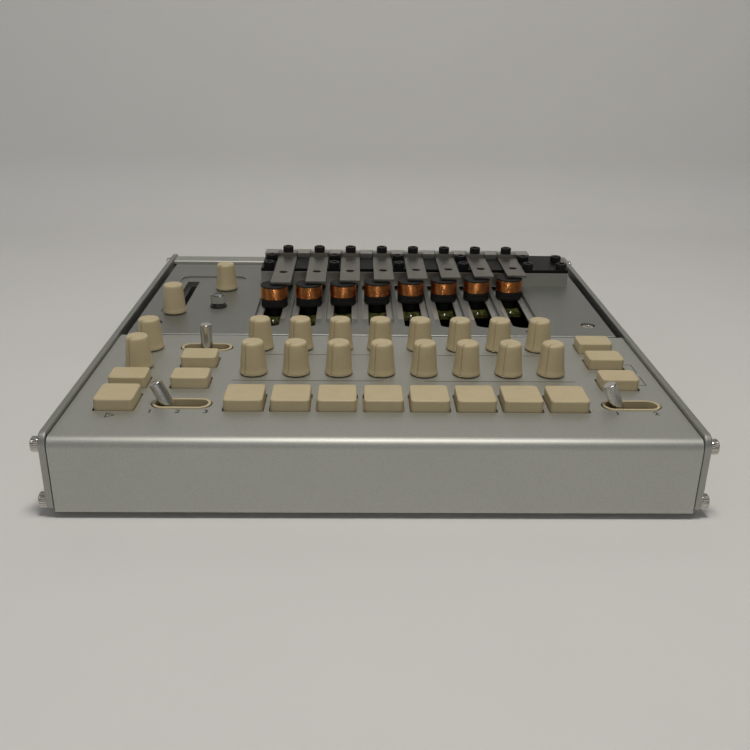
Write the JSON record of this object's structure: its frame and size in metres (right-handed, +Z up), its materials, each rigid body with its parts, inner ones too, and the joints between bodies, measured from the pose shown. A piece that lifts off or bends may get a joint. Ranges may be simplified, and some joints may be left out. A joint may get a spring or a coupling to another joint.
{
  "type": "desktop synthesizer",
  "caption": "Desktop synthesizer with clamped steel resonators over copper magnets, cream knobs, step buttons, toggles and a slider",
  "frame": {"origin": "middle of the footprint on the table, under the rubber feet", "axes": "X to the player's right, Y from the front face to the back, Z up"},
  "size_m": [0.231, 0.234, 0.0448],
  "materials": {
    "panel_silver": "fine bead-blasted silver, satin",
    "deck_grey": "fine bead-blasted grey, satin",
    "base_dark": "dark grey paint, matte",
    "block_light": "milled and blasted, satin",
    "bar_dark": "dark anodised, satin",
    "strip_steel": "cold rolled, fine lengthwise grain",
    "lever_steel": "turned, satin",
    "screw_steel": "zinc plated, satin",
    "screw_black": "black oxide, satin",
    "rubber_black": "matte",
    "bobbin_black": "moulded, satin",
    "pot_grey": "moulded, matte",
    "winding_copper": "enamelled copper wire, gloss",
    "board_green": "solder mask, satin",
    "guide_clear": "clear, gloss",
    "cream_plastic": "moulded, satin"
  },
  "bodies": {
    "chassis": {"front_panel": "panel_silver", "rear_panel": "panel_silver", "left_side_plate": "panel_silver", "right_side_plate": "panel_silver", "deck_panel": "deck_grey", "base_plate": "base_dark", "bridge_block": "block_light", "clamp_rail": "block_light", "bridge_bar": "bar_dark", "resonators": "strip_steel", "clamp_plates": "strip_steel", "case_screws": "screw_steel", "bridge_screws": "screw_black", "rubber_feet": "rubber_black", "coil_bobbins": "bobbin_black", "panel_switches": "bobbin_black", "rear_sockets": "bobbin_black", "potentiometers": "pot_grey", "coil_windings": "winding_copper", "circuit_boards": "board_green", "light_guide": "guide_clear", "toggle_bezels": "cream_plastic"},
    "rear_knob_1": {"rear_knob_1": "cream_plastic"},
    "rear_knob_2": {"rear_knob_2": "cream_plastic"},
    "rear_knob_3": {"rear_knob_3": "cream_plastic"},
    "rear_knob_4": {"rear_knob_4": "cream_plastic"},
    "rear_knob_5": {"rear_knob_5": "cream_plastic"},
    "rear_knob_6": {"rear_knob_6": "cream_plastic"},
    "rear_knob_7": {"rear_knob_7": "cream_plastic"},
    "rear_knob_8": {"rear_knob_8": "cream_plastic"},
    "front_knob_1": {"front_knob_1": "cream_plastic"},
    "front_knob_2": {"front_knob_2": "cream_plastic"},
    "front_knob_3": {"front_knob_3": "cream_plastic"},
    "front_knob_4": {"front_knob_4": "cream_plastic"},
    "front_knob_5": {"front_knob_5": "cream_plastic"},
    "front_knob_6": {"front_knob_6": "cream_plastic"},
    "front_knob_7": {"front_knob_7": "cream_plastic"},
    "front_knob_8": {"front_knob_8": "cream_plastic"},
    "left_rear_knob": {"left_rear_knob": "cream_plastic"},
    "left_front_knob": {"left_front_knob": "cream_plastic"},
    "volume_knob": {"volume_knob": "cream_plastic"},
    "step_button_1": {"step_button_1": "cream_plastic"},
    "step_button_2": {"step_button_2": "cream_plastic"},
    "step_button_3": {"step_button_3": "cream_plastic"},
    "step_button_4": {"step_button_4": "cream_plastic"},
    "step_button_5": {"step_button_5": "cream_plastic"},
    "step_button_6": {"step_button_6": "cream_plastic"},
    "step_button_7": {"step_button_7": "cream_plastic"},
    "step_button_8": {"step_button_8": "cream_plastic"},
    "play_button": {"play_button": "cream_plastic"},
    "record_button": {"record_button": "cream_plastic"},
    "mute_button": {"mute_button": "cream_plastic"},
    "function_button": {"function_button": "cream_plastic"},
    "right_front_button": {"right_front_button": "cream_plastic"},
    "right_middle_button": {"right_middle_button": "cream_plastic"},
    "right_rear_button": {"right_rear_button": "cream_plastic"},
    "mode_toggle": {"mode_toggle": "lever_steel"},
    "rear_toggle": {"rear_toggle": "lever_steel"},
    "bank_toggle": {"bank_toggle": "lever_steel"},
    "slider_cap": {"slider_cap": "cream_plastic"}
  },
  "joints": [
    {"name": "rear_knob_1_turn", "type": "hinge", "parent": "chassis", "child": "rear_knob_1", "pos_m": [-0.04745, -0.0311, 0.0302], "axis": [0, 0, -1], "range_deg": [0, 280]},
    {"name": "rear_knob_2_turn", "type": "hinge", "parent": "chassis", "child": "rear_knob_2", "pos_m": [-0.03075, -0.0311, 0.0302], "axis": [0, 0, -1], "range_deg": [0, 280]},
    {"name": "rear_knob_3_turn", "type": "hinge", "parent": "chassis", "child": "rear_knob_3", "pos_m": [-0.01405, -0.0311, 0.0302], "axis": [0, 0, -1], "range_deg": [0, 280]},
    {"name": "rear_knob_4_turn", "type": "hinge", "parent": "chassis", "child": "rear_knob_4", "pos_m": [0.00265, -0.0311, 0.0302], "axis": [0, 0, -1], "range_deg": [0, 280]},
    {"name": "rear_knob_5_turn", "type": "hinge", "parent": "chassis", "child": "rear_knob_5", "pos_m": [0.01935, -0.0311, 0.0302], "axis": [0, 0, -1], "range_deg": [0, 280]},
    {"name": "rear_knob_6_turn", "type": "hinge", "parent": "chassis", "child": "rear_knob_6", "pos_m": [0.03605, -0.0311, 0.0302], "axis": [0, 0, -1], "range_deg": [0, 280]},
    {"name": "rear_knob_7_turn", "type": "hinge", "parent": "chassis", "child": "rear_knob_7", "pos_m": [0.05275, -0.0311, 0.0302], "axis": [0, 0, -1], "range_deg": [0, 280]},
    {"name": "rear_knob_8_turn", "type": "hinge", "parent": "chassis", "child": "rear_knob_8", "pos_m": [0.06945, -0.0311, 0.0302], "axis": [0, 0, -1], "range_deg": [0, 280]},
    {"name": "front_knob_1_turn", "type": "hinge", "parent": "chassis", "child": "front_knob_1", "pos_m": [-0.04745, -0.0585, 0.0302], "axis": [0, 0, -1], "range_deg": [0, 280]},
    {"name": "front_knob_2_turn", "type": "hinge", "parent": "chassis", "child": "front_knob_2", "pos_m": [-0.03075, -0.0585, 0.0302], "axis": [0, 0, -1], "range_deg": [0, 280]},
    {"name": "front_knob_3_turn", "type": "hinge", "parent": "chassis", "child": "front_knob_3", "pos_m": [-0.01405, -0.0585, 0.0302], "axis": [0, 0, -1], "range_deg": [0, 280]},
    {"name": "front_knob_4_turn", "type": "hinge", "parent": "chassis", "child": "front_knob_4", "pos_m": [0.00265, -0.0585, 0.0302], "axis": [0, 0, -1], "range_deg": [0, 280]},
    {"name": "front_knob_5_turn", "type": "hinge", "parent": "chassis", "child": "front_knob_5", "pos_m": [0.01935, -0.0585, 0.0302], "axis": [0, 0, -1], "range_deg": [0, 280]},
    {"name": "front_knob_6_turn", "type": "hinge", "parent": "chassis", "child": "front_knob_6", "pos_m": [0.03605, -0.0585, 0.0302], "axis": [0, 0, -1], "range_deg": [0, 280]},
    {"name": "front_knob_7_turn", "type": "hinge", "parent": "chassis", "child": "front_knob_7", "pos_m": [0.05275, -0.0585, 0.0302], "axis": [0, 0, -1], "range_deg": [0, 280]},
    {"name": "front_knob_8_turn", "type": "hinge", "parent": "chassis", "child": "front_knob_8", "pos_m": [0.06945, -0.0585, 0.0302], "axis": [0, 0, -1], "range_deg": [0, 280]},
    {"name": "left_rear_knob_turn", "type": "hinge", "parent": "chassis", "child": "left_rear_knob", "pos_m": [-0.0932, -0.0323, 0.0302], "axis": [0, 0, -1], "range_deg": [0, 280]},
    {"name": "left_front_knob_turn", "type": "hinge", "parent": "chassis", "child": "left_front_knob", "pos_m": [-0.0932, -0.0531, 0.0302], "axis": [0, 0, -1], "range_deg": [0, 280]},
    {"name": "volume_knob_turn", "type": "hinge", "parent": "chassis", "child": "volume_knob", "pos_m": [-0.07365, 0.0543, 0.0296], "axis": [0, 0, -1], "range_deg": [0, 280]},
    {"name": "step_button_1_press", "type": "slide", "parent": "chassis", "child": "step_button_1", "axis": [0, 0, -1], "range_m": [0, 0.0012], "stiffness_N_per_m": 800, "springref_m": -0.0008},
    {"name": "step_button_2_press", "type": "slide", "parent": "chassis", "child": "step_button_2", "axis": [0, 0, -1], "range_m": [0, 0.0012], "stiffness_N_per_m": 800, "springref_m": -0.0008},
    {"name": "step_button_3_press", "type": "slide", "parent": "chassis", "child": "step_button_3", "axis": [0, 0, -1], "range_m": [0, 0.0012], "stiffness_N_per_m": 800, "springref_m": -0.0008},
    {"name": "step_button_4_press", "type": "slide", "parent": "chassis", "child": "step_button_4", "axis": [0, 0, -1], "range_m": [0, 0.0012], "stiffness_N_per_m": 800, "springref_m": -0.0008},
    {"name": "step_button_5_press", "type": "slide", "parent": "chassis", "child": "step_button_5", "axis": [0, 0, -1], "range_m": [0, 0.0012], "stiffness_N_per_m": 800, "springref_m": -0.0008},
    {"name": "step_button_6_press", "type": "slide", "parent": "chassis", "child": "step_button_6", "axis": [0, 0, -1], "range_m": [0, 0.0012], "stiffness_N_per_m": 800, "springref_m": -0.0008},
    {"name": "step_button_7_press", "type": "slide", "parent": "chassis", "child": "step_button_7", "axis": [0, 0, -1], "range_m": [0, 0.0012], "stiffness_N_per_m": 800, "springref_m": -0.0008},
    {"name": "step_button_8_press", "type": "slide", "parent": "chassis", "child": "step_button_8", "axis": [0, 0, -1], "range_m": [0, 0.0012], "stiffness_N_per_m": 800, "springref_m": -0.0008},
    {"name": "play_button_press", "type": "slide", "parent": "chassis", "child": "play_button", "axis": [0, 0, -1], "range_m": [0, 0.0012], "stiffness_N_per_m": 800, "springref_m": -0.0008},
    {"name": "record_button_press", "type": "slide", "parent": "chassis", "child": "record_button", "axis": [0, 0, -1], "range_m": [0, 0.0012], "stiffness_N_per_m": 800, "springref_m": -0.0008},
    {"name": "mute_button_press", "type": "slide", "parent": "chassis", "child": "mute_button", "axis": [0, 0, -1], "range_m": [0, 0.0012], "stiffness_N_per_m": 800, "springref_m": -0.0008},
    {"name": "function_button_press", "type": "slide", "parent": "chassis", "child": "function_button", "axis": [0, 0, -1], "range_m": [0, 0.0012], "stiffness_N_per_m": 800, "springref_m": -0.0008},
    {"name": "right_front_button_press", "type": "slide", "parent": "chassis", "child": "right_front_button", "axis": [0, 0, -1], "range_m": [0, 0.0012], "stiffness_N_per_m": 800, "springref_m": -0.0008},
    {"name": "right_middle_button_press", "type": "slide", "parent": "chassis", "child": "right_middle_button", "axis": [0, 0, -1], "range_m": [0, 0.0012], "stiffness_N_per_m": 800, "springref_m": -0.0008},
    {"name": "right_rear_button_press", "type": "slide", "parent": "chassis", "child": "right_rear_button", "axis": [0, 0, -1], "range_m": [0, 0.0012], "stiffness_N_per_m": 800, "springref_m": -0.0008},
    {"name": "mode_toggle_swing", "type": "hinge", "parent": "chassis", "child": "mode_toggle", "pos_m": [-0.07, -0.08825, 0.0184], "axis": [0, 1, 0], "range_deg": [0, 48]},
    {"name": "rear_toggle_swing", "type": "hinge", "parent": "chassis", "child": "rear_toggle", "pos_m": [-0.07, -0.03135, 0.0184], "axis": [0, 1, 0], "range_deg": [-24, 24]},
    {"name": "bank_toggle_swing", "type": "hinge", "parent": "chassis", "child": "bank_toggle", "pos_m": [0.093, -0.08825, 0.0184], "axis": [0, 1, 0], "range_deg": [0, 48]},
    {"name": "slider_cap_slide", "type": "slide", "parent": "chassis", "child": "slider_cap", "axis": [0, 1, 0], "range_m": [0, 0.049]}
  ]
}
